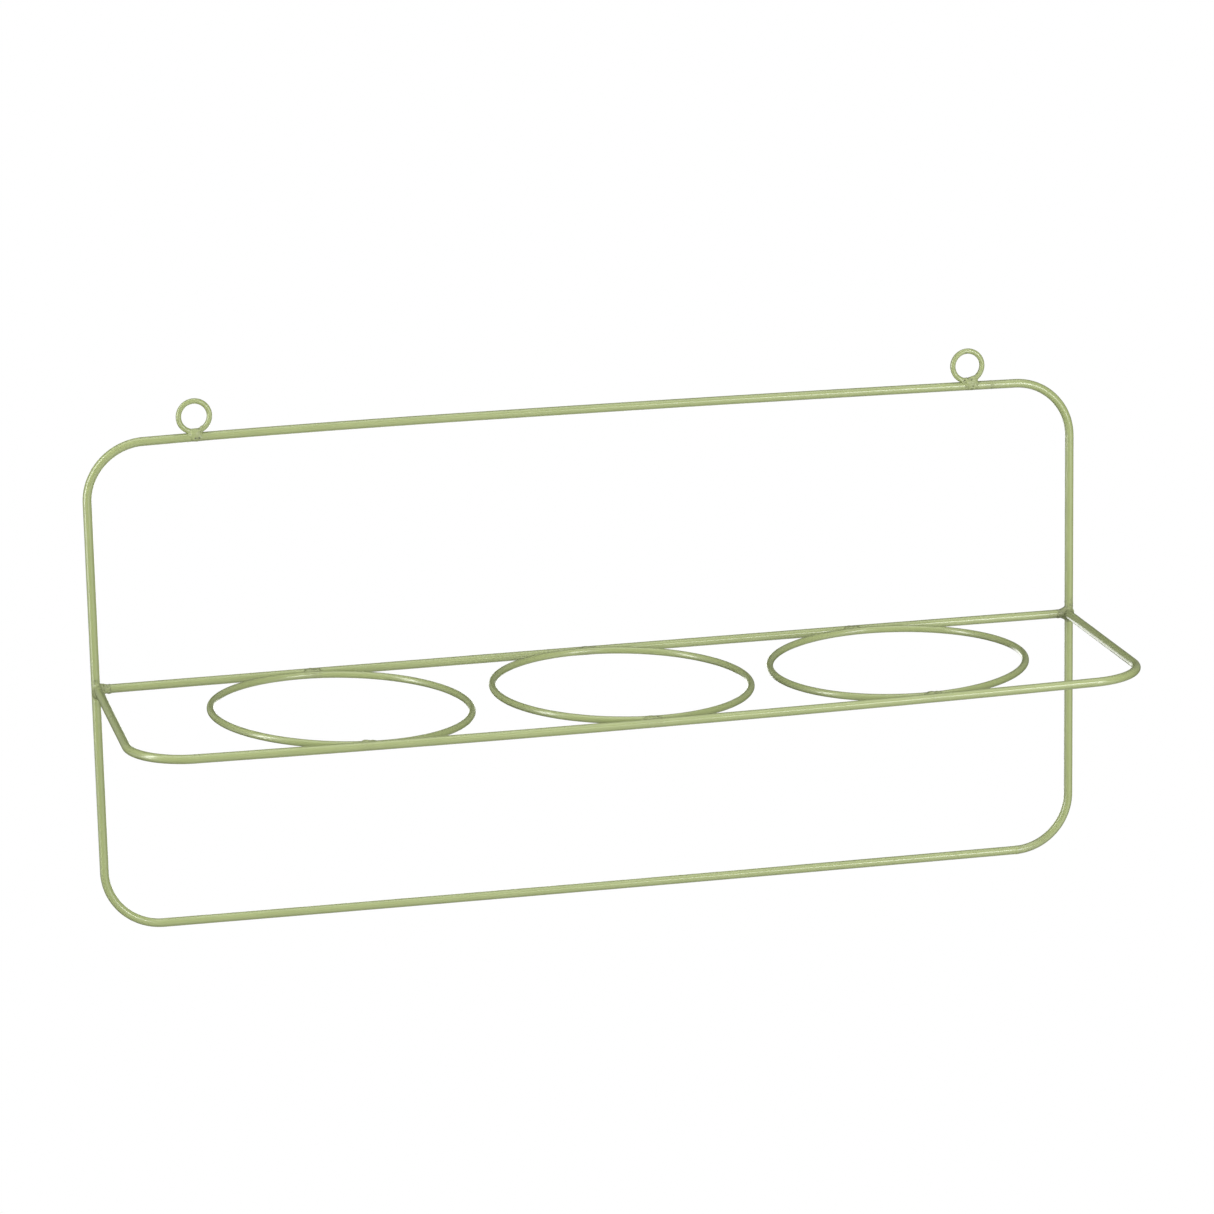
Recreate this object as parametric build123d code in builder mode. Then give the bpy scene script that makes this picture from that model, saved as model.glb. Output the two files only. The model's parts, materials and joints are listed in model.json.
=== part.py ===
from build123d import *
import os

# Wall rack for three flower pots: round steel wire, bent to shape, welded together and painted.
#
# A rounded rectangle of wire hangs flat on the wall from two eyelets.  Half way up, a crossbar and a
# U-shaped shelf loop stand out level from it, and three pot rings lie between them, side by side.
#
# Frame: origin where the middle of the bottom rail's back touches the wall.  +X is to the right for
# somebody facing the rack, -Y points out of the wall towards them, and +Z is up.
# All dimensions are in mm, and wire diameters include the coat of paint.

os.makedirs("parts", exist_ok=True)

# ---------------------------------------------------------------- driving dimensions

frame_width = 600.0         # outside of the wire, side to side
frame_height = 298.0        # outside of the wire, bottom rail to top rail
frame_corner_radius = 34.0  # to the middle of the wire
frame_wire = 5.2            # back frame, crossbar and shelf loop

shelf_height = 146.4        # crossbar above the bottom rail, middle to middle: half way up
shelf_depth = 160.0         # front bar of the shelf loop in front of the crossbar
shelf_loop_width = 598.0    # outside of the wire: the arms land on the uprights
shelf_corner_radius = 34.0
shelf_droop = 0.75          # degrees that the shelf hangs down towards its front
shelf_roll = 0.25           # degrees that its right-hand end stands higher

ring_wire = 4.2
ring_pitch = 165.5
ring_tilts = {"left": -2.5, "middle": -1.5, "right": 0.7}  # degrees in the shelf, right side up

eyelet_wire = 3.2
eyelet_radius = 9.05        # to the middle of the wire
eyelet_spacing = 466.6
eyelet_sink = 1.0           # how deep the weld has let the eyelet into the top rail
eyelet_gap_angle = 8.0      # between the eyelet's two ends, which meet in the weld

fit_up_gap = 0.1            # left between two wires before they are welded
frame_joint_x = 248.0       # where the back frame's two ends meet, on the top rail

frame_weld_length = 4.0
frame_weld_height = 0.45    # how far it stands proud of the wire
crossbar_weld_length = 9.0  # from the middle of the upright inwards
crossbar_weld_height = 0.9
weld_clearance = 0.6        # both are ground away this far in front of the wall

bead_sizes = {"eyelet": (12.0, 3.6), "arm": (5.6, 2.6), "ring": (10.0, 1.8)}  # length, radius
arm_weld_out = 0.6          # its middle, in front of the upright's wire
eyelet_weld_out = 0.4       # its middle, in front of the middle of the top rail
eyelet_weld_up = 1.2        # and above it
eyelet_weld_shift = 3.0     # to the right of the point that it covers
ring_weld_shifts = {        # to the right of the middle of the ring
    "left": {"rear": -4.0, "front": 2.4},
    "middle": {"rear": -3.3, "front": 0.4},
    "right": {"rear": -5.6, "front": 0.3},
}

# ---------------------------------------------------------------- derived dimensions

frame_r = frame_wire / 2
ring_r = ring_wire / 2
eyelet_r = eyelet_wire / 2

upright_x = frame_width / 2 - frame_r
top_rail_z = frame_height - frame_wire
arm_x = shelf_loop_width / 2 - frame_r
crossbar_length = 2 * (upright_x - frame_r - fit_up_gap)
arm_end_y = -frame_r - fit_up_gap
ring_radius = shelf_depth / 2 - frame_r - ring_r - fit_up_gap
eyelet_z = top_rail_z + frame_r + eyelet_r + eyelet_radius - eyelet_sink

ground_plane = Plane.XZ.offset(weld_clearance)  # its +Z points out of the wall
frame_plane = Plane.XZ.offset(frame_r)          # through the middle of the back frame's wire
shelf_plane = Plane(origin=(0, -frame_r, shelf_height)).rotated((shelf_droop, -shelf_roll, 0))

sides = {"left": -1, "right": 1}
ring_places = {"left": -ring_pitch, "middle": 0.0, "right": ring_pitch}


def weld_bead(kind, centre, joined):
    """A drop of weld metal: a round-ended bar along X around centre, less the pieces it joins.

    A bead behind the middle of the back frame's wire would reach the wall, so none is left there.
    """
    length, radius = bead_sizes[kind]
    with BuildPart() as bead:
        with BuildSketch(Plane(centre, (1, 0, 0), (0, -1, 0))):
            SlotOverall(length, 2 * radius)
            split(bisect_by=Plane.XZ, keep=Keep.BOTTOM)
        revolve(axis=Axis(centre, (1, 0, 0)))
        split(bisect_by=frame_plane, keep=Keep.TOP)
        for piece in joined:
            add(piece, mode=Mode.SUBTRACT)
    return bead


# ---------------------------------------------------------------- bent wires

# Back frame: one wire that starts and ends at the butt joint on the top rail
with BuildPart() as back_frame:
    corner_x = upright_x - frame_corner_radius
    upper_z = top_rail_z - frame_corner_radius
    with BuildLine(frame_plane) as frame_path:
        Line((frame_joint_x + fit_up_gap / 2, top_rail_z), (corner_x, top_rail_z))
        CenterArc((corner_x, upper_z), frame_corner_radius, 90, -90)
        Line((upright_x, upper_z), (upright_x, frame_corner_radius))
        CenterArc((corner_x, frame_corner_radius), frame_corner_radius, 0, -90)
        Line((corner_x, 0), (-corner_x, 0))
        CenterArc((-corner_x, frame_corner_radius), frame_corner_radius, 270, -90)
        Line((-upright_x, frame_corner_radius), (-upright_x, upper_z))
        CenterArc((-corner_x, upper_z), frame_corner_radius, 180, -90)
        Line((-corner_x, top_rail_z), (frame_joint_x - fit_up_gap / 2, top_rail_z))
    with BuildSketch(Plane(frame_path.line @ 0, z_dir=frame_path.line % 0)):
        Circle(frame_r)
    sweep()

back_frame.part.label = "back_frame"
export_step(back_frame.part, "parts/back_frame.step")

# Crossbar: a straight wire between the uprights
with BuildPart() as crossbar:
    with BuildSketch(Plane(shelf_plane.origin, z_dir=shelf_plane.x_dir)):
        Circle(frame_r)
    extrude(amount=crossbar_length / 2, both=True)

crossbar.part.label = "crossbar"
export_step(crossbar.part, "parts/crossbar.step")

# Shelf loop: a U whose two arms butt against the front of the uprights
with BuildPart() as shelf_loop:
    bend_x = arm_x - shelf_corner_radius
    bend_y = -shelf_depth + shelf_corner_radius
    with BuildLine(shelf_plane) as loop_path:
        Line((-arm_x, arm_end_y), (-arm_x, bend_y))
        CenterArc((-bend_x, bend_y), shelf_corner_radius, 180, 90)
        Line((-bend_x, -shelf_depth), (bend_x, -shelf_depth))
        CenterArc((bend_x, bend_y), shelf_corner_radius, 270, 90)
        Line((arm_x, bend_y), (arm_x, arm_end_y))
    with BuildSketch(Plane(loop_path.line @ 0, z_dir=loop_path.line % 0)):
        Circle(frame_r)
    sweep()

shelf_loop.part.label = "shelf_loop"
export_step(shelf_loop.part, "parts/shelf_loop.step")

# Pot rings: hoops that lie between the crossbar and the shelf loop's front bar
pot_rings = {}
for place, ring_x in ring_places.items():
    with BuildPart(shelf_plane) as pot_ring:
        with Locations(Location((ring_x, -shelf_depth / 2, 0), (0, -ring_tilts[place], 0))):
            Torus(ring_radius, ring_r)

    pot_rings[place] = pot_ring.part
    pot_ring.part.label = f"pot_ring_{place}"
    export_step(pot_ring.part, f"parts/pot_ring_{place}.step")

# Hanging eyelets: small wire loops, open at the bottom, let into the top rail
eyelets = {}
for side, sign in sides.items():
    with BuildPart() as eyelet:
        with BuildLine(frame_plane) as eyelet_path:
            CenterArc(
                (sign * eyelet_spacing / 2, eyelet_z),
                eyelet_radius,
                start_angle=-90 + eyelet_gap_angle / 2,
                arc_size=360 - eyelet_gap_angle,
            )
        with BuildSketch(Plane(eyelet_path.line @ 0, z_dir=eyelet_path.line % 0)):
            Circle(eyelet_r)
        sweep()
        add(back_frame.part, mode=Mode.SUBTRACT)

    eyelets[side] = eyelet.part
    eyelet.part.label = f"hanging_eyelet_{side}"
    export_step(eyelet.part, f"parts/hanging_eyelet_{side}.step")


# ---------------------------------------------------------------- welds

# Frame weld: a thin disc between the back frame's two ends, with a low collar round it
with BuildPart() as frame_weld:
    with BuildSketch(Plane((frame_joint_x, -frame_r, top_rail_z), (1, 0, 0), (0, -1, 0))):
        Rectangle(fit_up_gap, frame_r, align=(Align.CENTER, Align.MIN))
        with BuildLine():
            Line((-frame_weld_length / 2, frame_r), (frame_weld_length / 2, frame_r))
            ThreePointArc(
                (frame_weld_length / 2, frame_r),
                (0, frame_r + frame_weld_height),
                (-frame_weld_length / 2, frame_r),
            )
        make_face()
    revolve(axis=Axis((frame_joint_x, -frame_r, top_rail_z), (1, 0, 0)))
    split(bisect_by=ground_plane, keep=Keep.TOP)

frame_weld.part.label = "frame_weld"
export_step(frame_weld.part, "parts/frame_weld.step")

# Crossbar welds: a swelling round each end of the crossbar, against the upright
crossbar_welds = {}
for side, sign in sides.items():
    end_plane = Plane(
        shelf_plane.from_local_coords((sign * crossbar_length / 2, 0, 0)),
        x_dir=-sign * shelf_plane.x_dir,
        z_dir=sign * shelf_plane.y_dir,
    )
    outer_end = (-frame_r - fit_up_gap, frame_r + crossbar_weld_height / 3)
    inner_end = (outer_end[0] + crossbar_weld_length, frame_r)
    with BuildPart() as crossbar_weld:
        with BuildSketch(end_plane):
            with BuildLine():
                Polyline(inner_end, (0, frame_r), (0, 0), (outer_end[0], 0), outer_end)
                ThreePointArc(outer_end, (0, frame_r + crossbar_weld_height), inner_end)
            make_face()
        revolve(axis=Axis(end_plane.origin, end_plane.x_dir))
        add(back_frame.part, mode=Mode.SUBTRACT)
        add(shelf_loop.part, mode=Mode.SUBTRACT)
        split(bisect_by=ground_plane, keep=Keep.TOP)

    crossbar_welds[side] = crossbar_weld.part
    crossbar_weld.part.label = f"crossbar_weld_{side}"
    export_step(crossbar_weld.part, f"parts/crossbar_weld_{side}.step")

# Arm welds: in the corner under each arm of the shelf loop, on the front of the upright
for side, sign in sides.items():
    arm_weld = weld_bead(
        "arm",
        shelf_plane.from_local_coords((sign * arm_x, -frame_r - arm_weld_out, -frame_r)),
        [back_frame.part, crossbar.part, shelf_loop.part, crossbar_welds[side]],
    )
    arm_weld.part.label = f"arm_weld_{side}"
    export_step(arm_weld.part, f"parts/arm_weld_{side}.step")

# Eyelet welds: over the front of the top rail, and up into the bottom of the eyelet
for side, sign in sides.items():
    weld_x = sign * eyelet_spacing / 2 + eyelet_weld_shift
    eyelet_weld = weld_bead(
        "eyelet",
        Vector(weld_x, -frame_r - eyelet_weld_out, top_rail_z + eyelet_weld_up),
        [back_frame.part, eyelets[side]],
    )
    eyelet_weld.part.label = f"eyelet_weld_{side}"
    export_step(eyelet_weld.part, f"parts/eyelet_weld_{side}.step")

# Ring welds: in the groove on top, where a pot ring touches the crossbar and the front bar
touching_bars = {
    "rear": (-frame_r, crossbar.part),
    "front": (-shelf_depth + frame_r, shelf_loop.part),
}
for place, ring_x in ring_places.items():
    for end, (weld_y, bar) in touching_bars.items():
        weld_x = ring_x + ring_weld_shifts[place][end]
        ring_weld = weld_bead(
            "ring",
            shelf_plane.from_local_coords((weld_x, weld_y, bead_sizes["ring"][1])),
            [pot_rings[place], bar],
        )
        ring_weld.part.label = f"ring_weld_{place}_{end}"
        export_step(ring_weld.part, f"parts/ring_weld_{place}_{end}.step")
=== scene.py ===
import json
import math

import bpy
import numpy as np
from mathutils import Matrix, Vector, noise


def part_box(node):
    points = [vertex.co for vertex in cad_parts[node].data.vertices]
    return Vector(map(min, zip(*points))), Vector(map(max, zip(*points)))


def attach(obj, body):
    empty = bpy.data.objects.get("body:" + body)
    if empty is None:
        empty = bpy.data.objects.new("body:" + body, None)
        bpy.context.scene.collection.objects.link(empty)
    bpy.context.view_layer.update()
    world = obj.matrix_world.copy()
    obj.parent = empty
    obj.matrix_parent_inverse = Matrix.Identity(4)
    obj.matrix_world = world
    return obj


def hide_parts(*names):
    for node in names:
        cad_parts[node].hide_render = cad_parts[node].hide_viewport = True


# Looks of the wall pot rack: smooth wires that were bent and welded by hand, under a satin coat of
# sage green paint.  Every CAD node is replaced by a finer mesh of the same size in the same place.
# Lengths are in mm until a mesh is made, and in metres in the studio.  +X is right, +Z is up, and
# the rack stands out from the wall along -Y.

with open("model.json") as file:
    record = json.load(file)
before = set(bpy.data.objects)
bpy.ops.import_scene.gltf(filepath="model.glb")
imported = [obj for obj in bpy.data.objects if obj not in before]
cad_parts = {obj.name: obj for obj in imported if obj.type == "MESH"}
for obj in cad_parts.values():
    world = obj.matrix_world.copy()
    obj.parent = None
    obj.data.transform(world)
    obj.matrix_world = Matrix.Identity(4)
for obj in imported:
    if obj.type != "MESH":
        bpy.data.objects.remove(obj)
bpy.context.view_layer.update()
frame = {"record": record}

MM = 0.001
right = np.array((1.0, 0.0, 0.0))
inwards = np.array((0.0, 1.0, 0.0))
up = np.array((0.0, 0.0, 1.0))
sides = {"left": -1, "right": 1}
places = ("left", "middle", "right")


# ---------------------------------------------------------------- sizes, from the frame

# A name that ends in _r is a wire's own radius, and _radius is that of a bend or a loop.


def box(cad_node):
    """Lowest and highest corner of a CAD node, in mm."""
    low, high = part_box(cad_node)
    return np.array(low) / MM, np.array(high) / MM


def middle(cad_node):
    """The middle of a CAD node's box, in mm."""
    low, high = box(cad_node)
    return (low + high) / 2


mounts = {mount["name"]: np.array(mount["pos_m"]) / MM for mount in frame["record"]["mounts"]}

frame_low, frame_high = box("back_frame")
frame_r = (frame_high[1] - frame_low[1]) / 2
upright_x = frame_high[0] - frame_r
top_rail_z = frame_high[2] - frame_r
frame_corner_radius = 34.0
frame_joint_x = middle("frame_weld")[0]

crossbar_end_x = box("crossbar")[1][0]
shelf_z = middle("crossbar")[2]
loop_low, loop_high = box("shelf_loop")
arm_x = loop_high[0] - frame_r
shelf_depth = -loop_low[1] - 2 * frame_r
shelf_corner_radius = 34.0

ring_r = 2.1
ring_clearance = 0.1  # between a pot ring and the bars before and behind it
ring_radius = shelf_depth / 2 - frame_r - ring_r - ring_clearance
ring_rolls = {"left": -2.5, "middle": -1.5, "right": 0.7}  # degrees in the shelf, right side up
ring_span = mounts["pot_ring_right"] - mounts["pot_ring_left"]
shelf_rise = ring_span[2] / ring_span[0]
shelf_slope = (shelf_z - mounts["pot_ring_middle"][2]) / (shelf_depth / 2)

eyelet_low, eyelet_high = box("hanging_eyelet_left")
eyelet_r = (eyelet_high[1] - eyelet_low[1]) / 2
eyelet_radius = (eyelet_high[0] - eyelet_low[0]) / 2 - eyelet_r
eyelet_opening = 8  # degrees between an eyelet's two ends, at the bottom, inside its weld


# ---------------------------------------------------------------- hand-made deviations

# How far, in mm, the wires were bent away from straight and level by hand and by the welds' heat.
# Crowns are greatest half-way between the uprights.  The corners' drops and the arms' splays set in
# near the uprights, with the cube of the distance from half-way.
top_rail_crown = 0.9
bottom_rail_crown = -0.5
corner_drops = {"left": 2.4, "right": 0.5}
crossbar_lift = 0.2
crossbar_crown = 0.3
front_bar_lift = 1.7
front_bar_crown = -2.4
front_bar_rise = 0.8
arm_splays = {"left": 1.6, "right": -0.4}
ring_lifts = {"left": -0.4, "middle": 0.9, "right": 0.3}
ring_shifts = {"left": -0.15, "middle": -0.45, "right": 0.5}


def settle_frame(points):
    """Moves points of the back frame and its eyelets to where the hand-made rack has them."""
    moved = points.copy()
    across = points[:, 0] / upright_x
    height = np.clip(points[:, 2] / top_rail_z, 0, 1)
    crown = 1 - across**2
    moved[:, 2] += crown * (top_rail_crown * height**2 + bottom_rail_crown * (1 - height) ** 2)
    for side, sign in sides.items():
        moved[:, 2] -= corner_drops[side] * np.clip(sign * across, 0, 1) ** 3 * height**2
    return moved


def settle_shelf(points):
    """The same for the crossbar, the shelf loop and the pot rings."""
    moved = points.copy()
    across = points[:, 0] / upright_x
    out = np.clip(-(points[:, 1] + frame_r) / shelf_depth, 0, 1)
    crown = 1 - across**2
    moved[:, 2] += (1 - out) * (crossbar_lift + crossbar_crown * crown)
    moved[:, 2] += out * (front_bar_lift + front_bar_crown * crown + front_bar_rise * across)
    for side, sign in sides.items():
        moved[:, 0] += arm_splays[side] * out * np.clip(sign * across, 0, 1) ** 3
    return moved


# ---------------------------------------------------------------- paths


def line(start, end, spacing=2.0):
    """Points along a straight line, about spacing mm apart."""
    count = max(2, round(np.linalg.norm(end - start) / spacing) + 1)
    return np.linspace(start, end, count)


def arc(centre, radius, start, sweep, plane, spacing=1.2):
    """Points along an arc, with angles in degrees from the plane's first axis to its second."""
    count = max(2, round(abs(math.radians(sweep)) * radius / spacing) + 1)
    angles = np.radians(np.linspace(start, start + sweep, count))[:, None]
    return centre + radius * (np.cos(angles) * plane[0] + np.sin(angles) * plane[1])


def chain(*stretches):
    """Stretches joined end to end, without the points that they share."""
    return np.concatenate([stretches[0]] + [stretch[1:] for stretch in stretches[1:]])


def on_frame(x, z):
    """A point of the plane of the back frame's wire."""
    return np.array((x, -frame_r, z))


def on_shelf(x, y, z=0.0):
    """A point of the shelf's plane, which hangs down a little to the front and to the left."""
    return np.array((x, y - frame_r, shelf_z + x * shelf_rise + y * shelf_slope + z))


upright_plane = (right, up)
shelf_plane = (right + shelf_rise * up, inwards + shelf_slope * up)

corner_x = upright_x - frame_corner_radius
lower_z = frame_corner_radius
upper_z = top_rail_z - frame_corner_radius
bend_x = arm_x - shelf_corner_radius
bend_y = -shelf_depth + shelf_corner_radius
joint_gap = 0.05  # from the middle of the frame's butt joint to each of its ends

paths = {}
paths["back_frame"] = settle_frame(
    chain(
        line(on_frame(frame_joint_x + joint_gap, top_rail_z), on_frame(corner_x, top_rail_z)),
        arc(on_frame(corner_x, upper_z), frame_corner_radius, 90, -90, upright_plane),
        line(on_frame(upright_x, upper_z), on_frame(upright_x, lower_z)),
        # The bend mark is a narrow ridge, so this bend has its points closer together.
        arc(on_frame(corner_x, lower_z), frame_corner_radius, 0, -90, upright_plane, spacing=0.5),
        line(on_frame(corner_x, 0), on_frame(-corner_x, 0)),
        arc(on_frame(-corner_x, lower_z), frame_corner_radius, 270, -90, upright_plane),
        line(on_frame(-upright_x, lower_z), on_frame(-upright_x, upper_z)),
        arc(on_frame(-corner_x, upper_z), frame_corner_radius, 180, -90, upright_plane),
        line(on_frame(-corner_x, top_rail_z), on_frame(frame_joint_x - joint_gap, top_rail_z)),
    )
)
paths["crossbar"] = settle_shelf(line(on_shelf(-crossbar_end_x, 0), on_shelf(crossbar_end_x, 0)))
paths["shelf_loop"] = settle_shelf(
    chain(
        line(on_shelf(-arm_x, -frame_r), on_shelf(-arm_x, bend_y)),
        arc(on_shelf(-bend_x, bend_y), shelf_corner_radius, 180, 90, shelf_plane),
        line(on_shelf(-bend_x, -shelf_depth), on_shelf(bend_x, -shelf_depth)),
        arc(on_shelf(bend_x, bend_y), shelf_corner_radius, 270, 90, shelf_plane),
        line(on_shelf(arm_x, bend_y), on_shelf(arm_x, -frame_r)),
    )
)
for place in places:
    ring_x = mounts[f"pot_ring_{place}"][0] + ring_shifts[place]
    ring_middle = on_shelf(ring_x, -shelf_depth / 2, ring_lifts[place])
    ring_across = right + (shelf_rise + math.sin(math.radians(ring_rolls[place]))) * up
    ring_path = arc(ring_middle, ring_radius, 90, 360, (ring_across, shelf_plane[1]), spacing=1.8)
    paths[f"pot_ring_{place}"] = settle_shelf(ring_path)
for side in sides:
    eyelet_middle = mounts[f"hanging_eyelet_{side}"]
    start, sweep = eyelet_opening / 2 - 90, 360 - eyelet_opening
    eyelet_path = arc(eyelet_middle, eyelet_radius, start, sweep, upright_plane, spacing=0.6)
    paths[f"hanging_eyelet_{side}"] = settle_frame(eyelet_path)

wire_radii = {wire: frame_r for wire in ("back_frame", "crossbar", "shelf_loop")}
wire_radii.update({f"pot_ring_{place}": ring_r for place in places})
wire_radii.update({f"hanging_eyelet_{side}": eyelet_r for side in sides})


# ---------------------------------------------------------------- shader building blocks


def new_material(name):
    """An empty material, with its node tree and its output node."""
    material = bpy.data.materials.new(name)
    material.use_nodes = True
    tree = material.node_tree
    tree.nodes.clear()
    output = tree.nodes.new("ShaderNodeOutputMaterial")
    return material, tree, output


def node(tree, kind, inputs=None, **settings):
    """A shader node with its settings and its inputs, each a value or another node's socket."""
    made = tree.nodes.new(kind)
    for key, value in settings.items():
        setattr(made, key, value)
    for key, value in (inputs or {}).items():
        if isinstance(value, bpy.types.NodeSocket):
            tree.links.new(value, made.inputs[key])
        else:
            made.inputs[key].default_value = value
    return made


def noise_field(tree, where, size, detail=2.0, roughness=0.5):
    """Cloudy values from 0 to 1 whose patches are about size mm across."""
    made = node(
        tree,
        "ShaderNodeTexNoise",
        {"Vector": where, "Scale": 1 / (size * MM), "Detail": detail, "Roughness": roughness},
    )
    return made.outputs["Fac"]


def ramp(tree, value, low, high, to_low=0.0, to_high=1.0, shape="LINEAR"):
    """Goes from to_low to to_high while the value goes from low to high."""
    made = node(
        tree,
        "ShaderNodeMapRange",
        {"Value": value, "From Min": low, "From Max": high, "To Min": to_low, "To Max": to_high},
        interpolation_type=shape,
    )
    return made.outputs["Result"]


def calculate(tree, operation, a, b):
    made = node(tree, "ShaderNodeMath", {0: a, 1: b}, operation=operation)
    return made.outputs["Value"]


def mix_colours(tree, share, a, b):
    """Colour a where the share is 0, and colour b where it is 1."""
    made = node(tree, "ShaderNodeMix", {0: share, 6: a, 7: b}, data_type="RGBA")
    return made.outputs[2]


# ---------------------------------------------------------------- paint

sage = (0.377, 0.434, 0.19, 1.0)
pale_sage = (0.395, 0.452, 0.203, 1.0)
deep_sage = (0.357, 0.416, 0.178, 1.0)
scorched = (0.195, 0.19, 0.137, 1.0)
# Near black, for pits and for the painted shade along welds' toes
pit_and_shade_black = (0.03, 0.03, 0.018, 1.0)
shaded_edge = (0.11, 0.12, 0.07, 1.0)

# Sizes of the paint's patterns and heights of its relief, in mm
cloud_size, blotch_size, peel_size, crust_size = 24.0, 4.0, 1.6, 0.7
peel_height, crust_height = 0.05, 0.2

# The most of each colour that is mixed in, the least share of a scorch that shows through the
# blotches, and how much smoother than at its roughest clean paint can be
deep_share, edge_share = 0.55, 0.36
scorch_least = 0.15
roughness_spread = 0.06


def paint_colour(tree, where, blotches, scorch, pit_and_shade):
    """Sage green in paler and deeper patches, dark in scorches and pits, and with painted shade
    along weld toes and where it turns away from the view.

    Most of a noise lies between 0.3 and 0.7, so the ramps work about there.
    """
    clouds = noise_field(tree, where, cloud_size, detail=3.0)
    colour = mix_colours(tree, ramp(tree, clouds, 0.35, 0.65), sage, pale_sage)
    thin_paint = ramp(tree, blotches, 0.5, 0.8, 0.0, deep_share)
    colour = mix_colours(tree, thin_paint, colour, deep_sage)
    patchy = ramp(tree, blotches, 0.35, 0.58, scorch_least, 1.0)
    colour = mix_colours(tree, calculate(tree, "MULTIPLY", scorch, patchy), colour, scorched)
    # Pits, and the painted shade along weld toes, darken towards near black.
    colour = mix_colours(tree, pit_and_shade, colour, pit_and_shade_black)
    turned_away = node(tree, "ShaderNodeLayerWeight", {"Blend": 0.5}).outputs["Facing"]
    edge = ramp(tree, turned_away, 0.15, 0.85, 0.0, edge_share)
    return mix_colours(tree, edge, colour, shaded_edge)


def paint_relief(tree, where, scorch, crust_strength):
    """Orange peel all over, under a crust where the steel was scorched."""
    peel = noise_field(tree, where, peel_size, detail=1.0)
    peel_inputs = {"Height": peel, "Strength": 0.1, "Distance": peel_height * MM}
    peel_normal = node(tree, "ShaderNodeBump", peel_inputs).outputs["Normal"]
    grain = noise_field(tree, where, crust_size, roughness=0.6)
    crust_inputs = {
        "Height": calculate(tree, "MULTIPLY", scorch, grain),
        "Strength": crust_strength,
        "Distance": crust_height * MM,
        "Normal": peel_normal,
    }
    return node(tree, "ShaderNodeBump", crust_inputs).outputs["Normal"]


def paint(name, roughest, crust_strength, dullness):
    """Satin paint over steel, rougher and darker where a mesh's attributes for scorches, pits and
    painted shade say so.

    Clean paint has a roughness of up to roughest, and scorching adds up to dullness.
    """
    material, tree, output = new_material(name)
    where = node(tree, "ShaderNodeTexCoord").outputs["Object"]
    scorch = node(tree, "ShaderNodeAttribute", attribute_name="scorch").outputs["Fac"]
    # Darkness from pits and from painted shade along weld toes
    pit_and_shade = node(tree, "ShaderNodeAttribute", attribute_name="pit_and_shade").outputs["Fac"]
    blotches = noise_field(tree, where, blotch_size, detail=3.0, roughness=0.6)
    roughness = ramp(tree, blotches, 0.3, 0.7, roughest - roughness_spread, roughest)
    roughness = calculate(tree, "ADD", roughness, calculate(tree, "MULTIPLY", scorch, dullness))
    shader = node(
        tree,
        "ShaderNodeBsdfPrincipled",
        {
            "Base Color": paint_colour(tree, where, blotches, scorch, pit_and_shade),
            "Roughness": roughness,
            "IOR": 1.5,
            "Normal": paint_relief(tree, where, scorch, crust_strength),
        },
    )
    tree.links.new(shader.outputs["BSDF"], output.inputs["Surface"])
    return material


wire_paint = paint("sage_paint_on_wire", roughest=0.28, crust_strength=0.5, dullness=0.1)
weld_paint = paint("sage_paint_on_weld", roughest=0.42, crust_strength=1.0, dullness=0.2)


# ---------------------------------------------------------------- meshes


def add_piece(cad_node, vertices, faces, material, attributes):
    """A finished mesh in the CAD node's place, riding on the rack's one body."""
    mesh = bpy.data.meshes.new(f"{cad_node}_painted")
    mesh.from_pydata((vertices * MM).tolist(), [], faces)
    mesh.shade_smooth()
    for name, values in attributes.items():
        attribute = mesh.attributes.new(name, "FLOAT", "POINT")
        attribute.data.foreach_set("value", values.astype(np.float32))
    mesh.materials.append(material)
    piece = bpy.data.objects.new(mesh.name, mesh)
    bpy.context.scene.collection.objects.link(piece)
    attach(piece, "root")
    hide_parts(cad_node)


def noise_at(points, size):
    """Smooth noise from about -1 to 1 at each point, with bumps about size mm across."""
    return np.array([noise.noise(Vector(point)) for point in points / size])


def bell(distance, width):
    """A bell curve: 1 at distance 0, and almost 0 beyond twice the width."""
    return np.exp(-((distance / width) ** 2))


def directions(path, closed):
    """Unit tangents of a path."""
    if closed:
        ahead, behind = np.roll(path, -1, axis=0), np.roll(path, 1, axis=0)
    else:
        ahead, behind = np.vstack((path[1:], path[-1:])), np.vstack((path[:1], path[:-1]))
    tangents = ahead - behind
    return tangents / np.linalg.norm(tangents, axis=1)[:, None]


def rounded_ends(path, radius, rounding=0.6):
    """Path and radii of a wire with points added at its two ends, where cut edges are rounded."""
    turns = np.radians((0, 30, 60, 90))
    steps = rounding * (1 - np.cos(turns))
    shrink = rounding * (1 - np.sin(turns))
    start_way, end_way = path[1] - path[0], path[-2] - path[-1]
    start = path[0] + steps[:, None] * start_way / np.linalg.norm(start_way)
    end = path[-1] + steps[:, None] * end_way / np.linalg.norm(end_way)
    points = np.vstack((start, path[1:-1], end[::-1]))
    radii = np.full(len(points), radius)
    radii[: len(turns)] -= shrink
    radii[-len(turns) :] -= shrink[::-1]
    return points, radii


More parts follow.
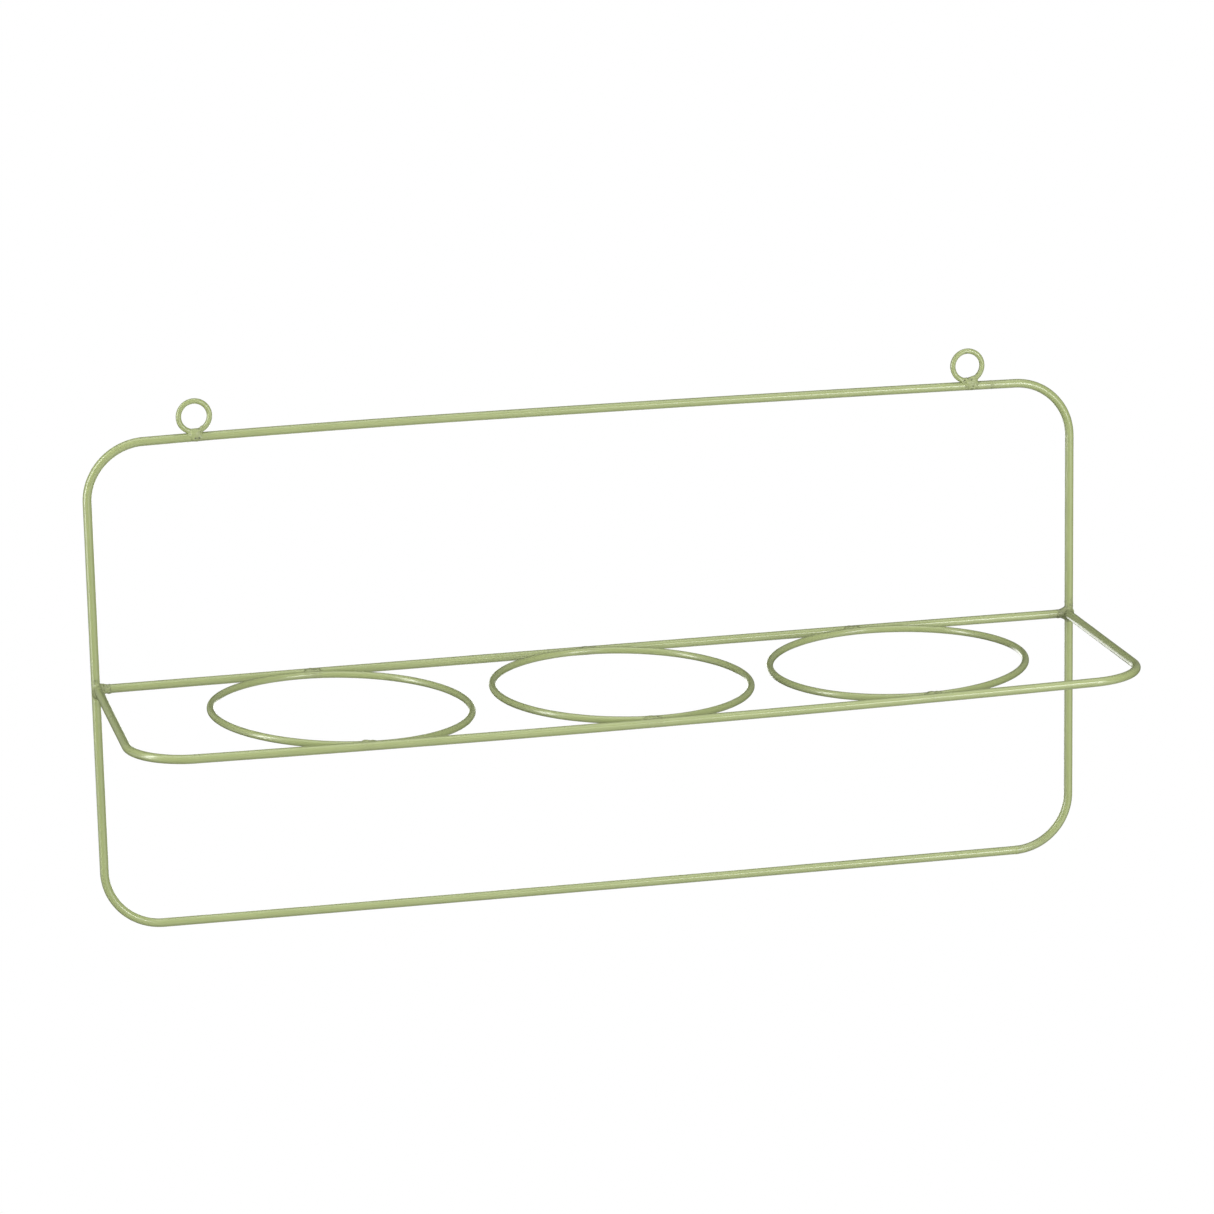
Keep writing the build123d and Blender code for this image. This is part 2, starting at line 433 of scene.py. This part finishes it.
def tube(path, radius, normal, closed, sides_round=32):
    """Vertices, outward directions and faces of a wire that lies in a plane with this normal."""
    if closed:
        path = path[:-1]
        radii = np.full(len(path), radius)
    else:
        path, radii = rounded_ends(path, radius)
    tangents = directions(path, closed)
    across = np.cross(normal, tangents)
    across /= np.linalg.norm(across, axis=1)[:, None]
    over = np.cross(tangents, across)
    angles = np.linspace(0, 2 * np.pi, sides_round, endpoint=False)[None, :, None]
    outwards = np.cos(angles) * across[:, None] + np.sin(angles) * over[:, None]
    vertices = path[:, None] + radii[:, None, None] * outwards
    rows = len(path)
    faces = []
    for row in range(rows if closed else rows - 1):
        following = (row + 1) % rows
        for side in range(sides_round):
            beside = (side + 1) % sides_round
            corners = ((row, side), (row, beside), (following, beside), (following, side))
            faces.append(tuple(along * sides_round + around for along, around in corners))
    if not closed:
        faces.append(tuple(range(sides_round))[::-1])
        faces.append(tuple(range((rows - 1) * sides_round, rows * sides_round)))
    return vertices.reshape(-1, 3), outwards.reshape(-1, 3), faces


# ---------------------------------------------------------------- welds: what they look like

# A weld is a skin over the wires that it joins.  Its thickness comes from lumps, each given by its
# place from the middle of the CAD weld, its reach along X, Y and Z, and its height.  The fillet is
# the width over which the skin rounds the corner between two wires, and the roughness is the height
# of its bumps.  All of these are in mm.  Pits is how many pits it has, and toe is how dark the
# painted shade along its edge is, where that isn't as usual.

welds = {}

for place in places:
    for end, bar in (("rear", "crossbar"), ("front", "shelf_loop")):
        welds[f"ring_weld_{place}_{end}"] = {
            "wires": (bar, f"pot_ring_{place}"),
            "fillet": 2.4,
            "lumps": [
                ((-1.6, 0.0, 0.5), (3.4, 2.4, 2.2), 1.35),
                ((2.1, 0.0, 0.3), (2.8, 2.3, 2.1), 1.15),
            ],
            "roughness": 0.14,
            "pits": 12,
        }
welds["ring_weld_left_front"]["lumps"].append(((-0.6, -1.2, -3.4), (3.4, 2.2, 1.8), 0.7))

welds["crossbar_weld_left"] = {
    "wires": ("back_frame", "crossbar"),
    "fillet": 1.2,
    "lumps": [
        ((-0.3, 0.5, 0.2), (2.5, 4.2, 4.2), 1.15),
        ((2.9, 0.3, -0.4), (2.3, 3.8, 3.4), 0.75),
    ],
    "roughness": 0.3,
    "pits": 60,
}
welds["crossbar_weld_right"] = {
    "wires": ("back_frame", "crossbar"),
    "fillet": 2.8,
    "lumps": [
        ((1.1, 0.5, 0.3), (2.6, 4.4, 4.2), 0.9),
        ((-2.0, 0.5, 0.0), (2.6, 3.8, 3.6), 0.5),
        ((4.4, 0.0, 6.2), (3.4, 3.4, 4.4), 0.34),
    ],
    "roughness": 0.28,
    "pits": 70,
}
welds["arm_weld_left"] = {
    "wires": ("back_frame", "shelf_loop"),
    "fillet": 2.0,
    "lumps": [
        ((-1.1, -0.4, 0.6), (2.7, 3.6, 3.0), 1.7),
        ((0.2, -1.0, 4.6), (3.2, 4.6, 3.0), 0.7),
        ((-1.4, 1.6, 8.0), (1.6, 2.2, 2.6), 0.42),
    ],
    "roughness": 0.12,
    "pits": 4,
}
welds["arm_weld_right"] = {
    "wires": ("back_frame", "shelf_loop"),
    "fillet": 2.2,
    "lumps": [
        ((0.4, 0.0, 0.4), (2.8, 3.2, 2.8), 0.85),
        ((0.0, -0.6, 4.4), (3.2, 4.2, 3.0), 0.65),
        ((3.1, 2.4, 3.8), (1.7, 2.0, 1.7), 0.95),
    ],
    "roughness": 0.16,
    "pits": 16,
}
welds["eyelet_weld_left"] = {
    "wires": ("back_frame", "hanging_eyelet_left"),
    "fillet": 2.6,
    "lumps": [
        ((-2.6, 0.4, 1.6), (3.1, 3.0, 3.2), 1.05),
        ((-2.1, 0.2, -1.4), (3.5, 3.0, 2.8), 0.7),
        ((1.2, 1.8, 4.3), (1.0, 1.3, 1.1), 0.95),
    ],
    "roughness": 0.15,
    "pits": 12,
}
welds["eyelet_weld_right"] = {
    "wires": ("back_frame", "hanging_eyelet_right"),
    "fillet": 2.6,
    "lumps": [
        ((-1.1, 0.4, 1.5), (4.3, 3.0, 3.2), 1.0),
        ((-0.8, 0.2, -1.4), (4.0, 3.0, 2.8), 0.7),
        ((-1.0, 1.5, 3.7), (4.0, 1.8, 1.5), 1.0),
    ],
    "roughness": 0.22,
    "pits": 34,
}
welds["frame_weld"] = {
    "wires": ("back_frame",),
    "fillet": 1.0,
    "lumps": [((0.0, 0.5, 0.0), (1.0, 6.0, 6.0), 0.4)],
    "roughness": 0.1,
    "pits": 3,
    "toe": 0.1,
}


def settled_middle(weld_name):
    """The middle of a CAD weld, moved with the hand-made wires."""
    settle = settle_frame if weld_name.startswith(("eyelet", "frame")) else settle_shelf
    return settle(middle(weld_name)[None])[0]


weld_middles = {name: settled_middle(name) for name in welds}

# How far the heat of a weld roughened the steel, in mm, and how much, from 0 to 1
weld_scorches = {name: (6.0, 0.2) for name in welds}
weld_scorches.update({f"ring_weld_{place}_rear": (5.0, 0.45) for place in places})
weld_scorches["crossbar_weld_left"] = (6.0, 0.4)
weld_scorches["crossbar_weld_right"] = (8.0, 0.5)


def scorch_at(points):
    """How much welding roughened the steel under the paint at each point, from 0 to 1."""
    scorch = np.zeros(len(points))
    for name, (reach, strength) in weld_scorches.items():
        distance = np.linalg.norm(points - weld_middles[name], axis=1)
        scorch = np.maximum(scorch, strength * bell(distance, reach))
    return scorch


# ---------------------------------------------------------------- wires

# The faint waves in a drawn wire's surface: their lengths and heights
surface_waves = ((14.0, 0.03), (4.0, 0.008))

# The bending tool left a ridge round the bottom rail and scuffed the bend beyond it.
ridge_x = corner_x + 1.0
ridge_height, ridge_width = 0.16, 0.7
scuff_strength, scuff_length, scuff_fade = 0.25, 22.0, 6.0

# A speck in the paint, inside the top of the right eyelet
speck_offset = np.array((-1.0, -1.2, eyelet_radius - 0.7 * eyelet_r))
speck_middle = mounts["hanging_eyelet_right"] + speck_offset
speck_darkness, speck_radius = 0.7, 0.8


def bend_mark(points):
    """The ridge's height at each point, in mm, and how much the paint is scuffed there."""
    on_bottom_rail = points[:, 2] < frame_corner_radius / 2
    beyond = points[:, 0] - ridge_x
    ridge = ridge_height * bell(beyond, ridge_width)
    fading = np.clip((scuff_length - beyond) / scuff_fade, 0, 1)
    scuff = scuff_strength * np.clip(beyond, 0, 1) * fading
    return ridge * on_bottom_rail, scuff * on_bottom_rail


for wire, path in paths.items():
    in_frame_plane = wire.startswith(("back_frame", "hanging_eyelet"))
    normal = -inwards if in_frame_plane else up
    closed = wire.startswith("pot_ring")
    vertices, outwards, faces = tube(path, wire_radii[wire], normal, closed)
    swelling = sum(height * noise_at(vertices, length) for length, height in surface_waves)
    scorch = scorch_at(vertices)
    if wire == "back_frame":
        ridge, scuff = bend_mark(vertices)
        swelling = swelling + ridge
        scorch = np.maximum(scorch, scuff)
    speck_distance = np.linalg.norm(vertices - speck_middle, axis=1)
    attributes = {"scorch": scorch, "pit_and_shade": speck_darkness * bell(speck_distance, speck_radius)}
    vertices = vertices + swelling[:, None] * outwards
    add_piece(wire, vertices, faces, wire_paint, attributes)


# ---------------------------------------------------------------- welds: their skins


def distance_to_wire(points, path, radius):
    """Distance from each point to the surface of a wire whose middle line is given."""
    nearest = np.full(len(points), np.inf)
    for start, end in zip(path[:-1], path[1:]):
        way = end - start
        share = np.clip((points - start) @ way / (way @ way), 0, 1)
        gap = points - start - share[:, None] * way
        nearest = np.minimum(nearest, np.einsum("ij,ij->i", gap, gap))
    return np.sqrt(nearest) - radius


def stretch_near(path, low, high, margin=6.0):
    """Every third point of the stretch of a path that is inside a box, or within a margin of it."""
    coarse = np.vstack((path[:-1:3], path[-1:]))
    inside = np.all((coarse > low - margin) & (coarse < high + margin), axis=1)
    return coarse[inside]


def wire_distances(points, wires, low, high):
    """Distances from points in a box to each of these wires that comes near it."""
    stretches = {wire: stretch_near(paths[wire], low, high) for wire in wires}
    return [
        distance_to_wire(points, stretch, wire_radii[wire])
        for wire, stretch in stretches.items()
        if len(stretch) > 1
    ]


def smooth_union(a, b, width):
    """Distance to two shapes together, with the corner between them rounded over this width."""
    share = np.clip(0.5 + 0.5 * (b - a) / width, 0, 1)
    return b * (1 - share) + a * share - width * share * (1 - share)


def without_pinches(field):
    """Fills grid points between two sheets of the surface that would only touch along an edge."""
    just_inside = -0.01
    inside = field < 0
    filled = 1
    while filled:
        before = np.count_nonzero(inside)
        for u, v in ((0, 1), (0, 2), (1, 2)):
            along_u, along_v = np.roll(inside, -1, u), np.roll(inside, -1, v)
            across = np.roll(along_u, -1, v)
            rising = inside & across & ~along_u & ~along_v
            falling = along_u & along_v & ~inside & ~across
            inside |= np.roll(rising, 1, u) | falling
        filled = np.count_nonzero(inside) - before
    return np.where(inside & (field >= 0), just_inside, field)


def surface_net(field, low, cell):
    """Vertices and quads of the surface round the part of a sampled field that is negative.

    Each cell that the surface passes has one vertex, at the mean of the places where the surface
    crosses the cell's edges.  Each crossed edge has one quad, between the four cells round it.
    """
    cells = np.array(field.shape) - 1
    total = np.zeros((*cells, 3))
    hits = np.zeros(cells)
    patches = []
    for axis in range(3):
        first = np.take(field, np.arange(field.shape[axis] - 1), axis=axis)
        second = np.take(field, np.arange(1, field.shape[axis]), axis=axis)
        edges = np.argwhere((first < 0) != (second < 0))
        first, second = first[tuple(edges.T)], second[tuple(edges.T)]
        points = edges.astype(float)
        points[:, axis] += first / (first - second)
        u, v = (axis + 1) % 3, (axis + 2) % 3
        corners = []
        for back_u, back_v in ((0, 0), (1, 0), (1, 1), (0, 1)):
            corner = edges.copy()
            corner[:, u] -= back_u
            corner[:, v] -= back_v
            np.add.at(total, tuple(corner.T), points)
            np.add.at(hits, tuple(corner.T), 1)
            corners.append(corner)
        patches.append((corners, first < 0))
    numbers = np.full(cells, -1)
    numbers[hits > 0] = np.arange(np.count_nonzero(hits))
    vertices = low + cell * total[hits > 0] / hits[hits > 0][:, None]
    faces = []
    for corners, faces_ahead in patches:
        quads = np.stack([numbers[tuple(corner.T)] for corner in corners], axis=1)
        quads[~faces_ahead] = quads[~faces_ahead][:, ::-1]
        faces += quads.tolist()
    return vertices, faces


# Each lump is sunk by lump_sink, so that the skin rises out of the wires at an angle.  Past
# lump_edge times its reach it dives into them, by lump_slope mm for each further reach.
lump_sink, lump_edge, lump_slope = 0.3, 1.3, 5.0
lump_blend = 0.4  # the width over which the creases between lumps are rounded
no_skin = -9.0  # the skin's thickness where there is no lump
wire_depth = 3.5  # more than the depth of any point in the wires, so no weld lies below it
outside = 1.0  # the sampled field where there is no weld
grid_reaches, grid_margin = 2.0, 0.5  # the grid goes this many reaches past a lump, plus this much


def skin_thickness(points, lumps):
    """Height of a weld's skin over the wires at each point, below zero where there is no weld."""
    thickness = np.full(len(points), no_skin)
    for at, reach, height in lumps:
        away = np.linalg.norm((points - at) / reach, axis=1)
        dive = lump_slope * np.clip(away - lump_edge, 0, None)
        lump = height * np.exp(-(away**4)) - lump_sink - dive
        thickness = -smooth_union(-thickness, -lump, lump_blend)
    return thickness


def weld_shape(weld, place, cell=0.2):
    """Vertices and faces of a weld: its wires' smooth union, thickened by lumps, closed inside."""
    lumps = [(place + np.array(at), np.array(reach), height) for at, reach, height in weld["lumps"]]
    low = np.min([at - grid_reaches * reach for at, reach, height in lumps], axis=0) - grid_margin
    high = np.max([at + grid_reaches * reach for at, reach, height in lumps], axis=0) + grid_margin
    axes = [np.arange(start, end, cell) for start, end in zip(low, high)]
    grid = np.stack(np.meshgrid(*axes, indexing="ij"), axis=-1)
    points = grid.reshape(-1, 3)

    thickness = skin_thickness(points, lumps)
    live = thickness > -wire_depth
    surface, *others = wire_distances(points[live], weld["wires"], low, high)
    for other in others:
        surface = smooth_union(surface, other, weld["fillet"])
    values = np.full(grid.shape[:3], outside)
    values[live.reshape(values.shape)] = surface - thickness[live]
    field = without_pinches(np.pad(values, 1, constant_values=outside))
    return surface_net(field, low - cell, cell)


def vertex_normals(vertices, faces):
    """Unit normals at the vertices of a mesh of quads."""
    quads = np.array(faces)
    first_diagonals = vertices[quads[:, 2]] - vertices[quads[:, 0]]
    second_diagonals = vertices[quads[:, 3]] - vertices[quads[:, 1]]
    face_normals = np.cross(first_diagonals, second_diagonals)
    normals = np.zeros_like(vertices)
    for corner in range(4):
        np.add.at(normals, quads[:, corner], face_normals)
    return normals / np.maximum(np.linalg.norm(normals, axis=1), 1e-9)[:, None]


# ---------------------------------------------------------------- welds: their roughness

# Sizes of a weld's bumps and grains, the small bumps' height as a share of the others' height, how
# far each seed shifts the bumps' pattern, and the height of the grains
bump_size, small_bump_size, grain_size = 1.7, 0.7, 0.45
small_bump_share = 0.5
bump_shift, small_bump_shift = 7.0, -5.0
grain_height = 0.04

# The crease along a weld's toe, where it meets the wire, is darkened with painted shade, more in
# some patches.
toe_shade_strength, toe_width = 0.6, 0.14
toe_patch_size, toe_evenness = 3.0, 0.6

# Least and greatest radius, depth and darkness of a pit
pit_radii = (0.3, 0.65)
pit_depths = (0.15, 0.35)
pit_darknesses = (0.4, 1.0)


def roughened(weld, vertices, normals, seed):
    """The weld's vertices, moved in and out by bumps and grains."""
    bumps = noise_at(vertices + bump_shift * seed, bump_size)
    small_bumps = noise_at(vertices + small_bump_shift * seed, small_bump_size)
    grains = noise_at(vertices, grain_size)
    rise = weld["roughness"] * (bumps + small_bump_share * small_bumps) + grain_height * grains
    return vertices + rise[:, None] * normals


def toe_painted_shade(weld, vertices):
    """How dark the painted shade along the weld's toe makes each vertex, from 0 to 1."""
    low, high = vertices.min(axis=0), vertices.max(axis=0)
    above_wires = np.min(wire_distances(vertices, weld["wires"], low, high), axis=0)
    patches = np.clip(toe_evenness + noise_at(vertices, toe_patch_size), 0, 1)
    return weld.get("toe", toe_shade_strength) * patches * bell(above_wires, toe_width)


def pitted(weld, vertices, normals, pits_and_toe_shade, seed):
    """The vertices and their darkness from pits and painted toe shade, with pits in random places.
    """
    draws = np.random.default_rng(seed)
    for number in draws.integers(len(vertices), size=weld["pits"]):
        distance = np.linalg.norm(vertices - vertices[number], axis=1)
        dip = bell(distance, draws.uniform(*pit_radii))
        vertices = vertices - draws.uniform(*pit_depths) * dip[:, None] * normals
        pits_and_toe_shade = np.maximum(pits_and_toe_shade, draws.uniform(*pit_darknesses) * dip)
    return vertices, pits_and_toe_shade


# Each weld's seed is its number in the order in which the welds are listed above.
for seed, (name, weld) in enumerate(welds.items(), start=1):
    vertices, faces = weld_shape(weld, weld_middles[name])
    normals = vertex_normals(vertices, faces)
    vertices = roughened(weld, vertices, normals, seed)
    vertices, pits_and_toe_shade = pitted(weld, vertices, normals, toe_painted_shade(weld, vertices), seed)
    vertices[:, 1] = np.minimum(vertices[:, 1], 0.0)  # ground flush with the frame's back
    # The darkness from pits and from the painted shade along the toe goes into one attribute.
    attributes = {"scorch": scorch_at(vertices), "pit_and_shade": pits_and_toe_shade}
    add_piece(name, vertices, faces, weld_paint, attributes)


# ---------------------------------------------------------------- studio

white = (1.0, 1.0, 1.0, 1.0)

# Soft patches of light all round the rack: azimuth, elevation and half width in degrees, then
# brightness.  Azimuth 0 is straight in front, and 90 to the viewer's right.
glows = (
    (-75, -30, 38, 0.6),
    (35, -30, 38, 1.5),
    (-160, 8, 22, 0.3),
    (-112, -12, 22, 1.2),
    (-76, 0, 22, 1.7),
    (140, 20, 34, 0.2),
    (150, -60, 34, 0.8),
    (-90, 48, 38, 0.3),
    (0, 88, 38, 2.3),
)
glow_core = 0.37  # the share of a glow's half width that is fully bright


def direction(azimuth, elevation):
    """Unit vector from the rack toward an azimuth and an elevation in degrees."""
    a, e = math.radians(azimuth), math.radians(elevation)
    return Vector((math.sin(a) * math.cos(e), -math.cos(a) * math.cos(e), math.sin(e)))


def add_world():
    """Plain white for the camera, and soft patches of light for the rack."""
    world = bpy.data.worlds.new("studio")
    world.use_nodes = True
    bpy.context.scene.world = world
    tree = world.node_tree
    tree.nodes.clear()
    ray = node(tree, "ShaderNodeTexCoord").outputs["Generated"]
    light = 0.0
    for azimuth, elevation, half_width, brightness in glows:
        toward = direction(azimuth, elevation)
        facing = node(tree, "ShaderNodeVectorMath", {0: ray, 1: toward}, operation="DOT_PRODUCT")
        edge = math.cos(math.radians(half_width))
        core = math.cos(math.radians(half_width * glow_core))
        glow = ramp(tree, facing.outputs["Value"], edge, core, 0.0, brightness, "SMOOTHSTEP")
        light = calculate(tree, "ADD", light, glow)
    seen = node(tree, "ShaderNodeLightPath").outputs["Is Camera Ray"]
    colour = mix_colours(tree, seen, light, white)
    background = node(tree, "ShaderNodeBackground", {"Color": colour, "Strength": 1.0})
    node(tree, "ShaderNodeOutputWorld", {"Surface": background.outputs["Background"]})


def add_floor(half_width=20.0, height=-0.6):
    """A floor that the camera sees as plain white, and that neither lights nor shades the rack."""
    material, tree, output = new_material("pale_floor")
    shine = node(tree, "ShaderNodeEmission", {"Color": white, "Strength": 1.0})
    tree.links.new(shine.outputs["Emission"], output.inputs["Surface"])
    quarters = ((-1, -1), (1, -1), (1, 1), (-1, 1))
    corners = [(half_width * x, half_width * y, height) for x, y in quarters]
    mesh = bpy.data.meshes.new("floor")
    mesh.from_pydata(corners, [], [(0, 1, 2, 3)])
    mesh.materials.append(material)
    floor = bpy.data.objects.new("floor", mesh)
    floor.visible_diffuse = False
    floor.visible_glossy = False
    floor.visible_shadow = False
    bpy.context.scene.collection.objects.link(floor)


rack_middle = Vector((0.0, -0.08, 0.15))  # what the softboxes face


def add_softbox(name, location, width, height, power, highlights_only=False):
    """A soft light that faces the rack and that the camera doesn't see."""
    light = bpy.data.lights.new(name, "AREA")
    light.shape = "RECTANGLE"
    light.size = width
    light.size_y = height
    light.energy = power
    softbox = bpy.data.objects.new(name, light)
    softbox.location = location
    softbox.rotation_euler = (rack_middle - softbox.location).to_track_quat("-Z", "Y").to_euler()
    softbox.visible_camera = False
    softbox.visible_diffuse = not highlights_only
    bpy.context.scene.collection.objects.link(softbox)


add_world()
add_floor()
# Where each softbox stands, its width, its height and its power in watts.  The one behind the rack
# reaches what the others leave dark: the underside of the right arm and the ends of the rings.
add_softbox("front_right", (0.92, -2.5, 1.18), 0.6, 0.6, 19)
add_softbox("low_right", (1.2, -2.2, 0.5), 0.4, 1.3, 27)
add_softbox("left_strip", (-1.2, -0.3, 0.5), 0.14, 1.3, 7)
add_softbox("left_edge", (-1.2, -0.3, 0.5), 0.14, 1.3, 13, highlights_only=True)
add_softbox("behind_low", (0.08, 0.77, -0.04), 0.45, 0.36, 1.6)


# ---------------------------------------------------------------- camera

# The photograph's viewing angle: the point that the camera looks at, the side that it looks from
# and its roll in degrees, its distance, and its lens in mm
camera_target = Vector((0.0093, -0.0026, 0.1727))
camera_azimuth, camera_elevation, camera_roll = -12.351, 13.874, -1.162
camera_distance, camera_lens = 2.863, 142.39

camera_data = bpy.data.cameras.new("camera")
camera_data.lens = camera_lens
camera_data.sensor_width = 36.0
camera = bpy.data.objects.new("camera", camera_data)

back = direction(camera_azimuth, camera_elevation)
level = (-back).cross(Vector(up)).normalized()
upward = level.cross(-back)
roll = math.radians(camera_roll)
camera_right = math.cos(roll) * level + math.sin(roll) * upward
camera_up = math.cos(roll) * upward - math.sin(roll) * level
turn = Matrix((camera_right, camera_up, back)).transposed().to_4x4()
camera.matrix_world = Matrix.Translation(camera_target + camera_distance * back) @ turn
bpy.context.scene.collection.objects.link(camera)
bpy.context.scene.camera = camera
bpy.context.scene.view_settings.view_transform = "Standard"
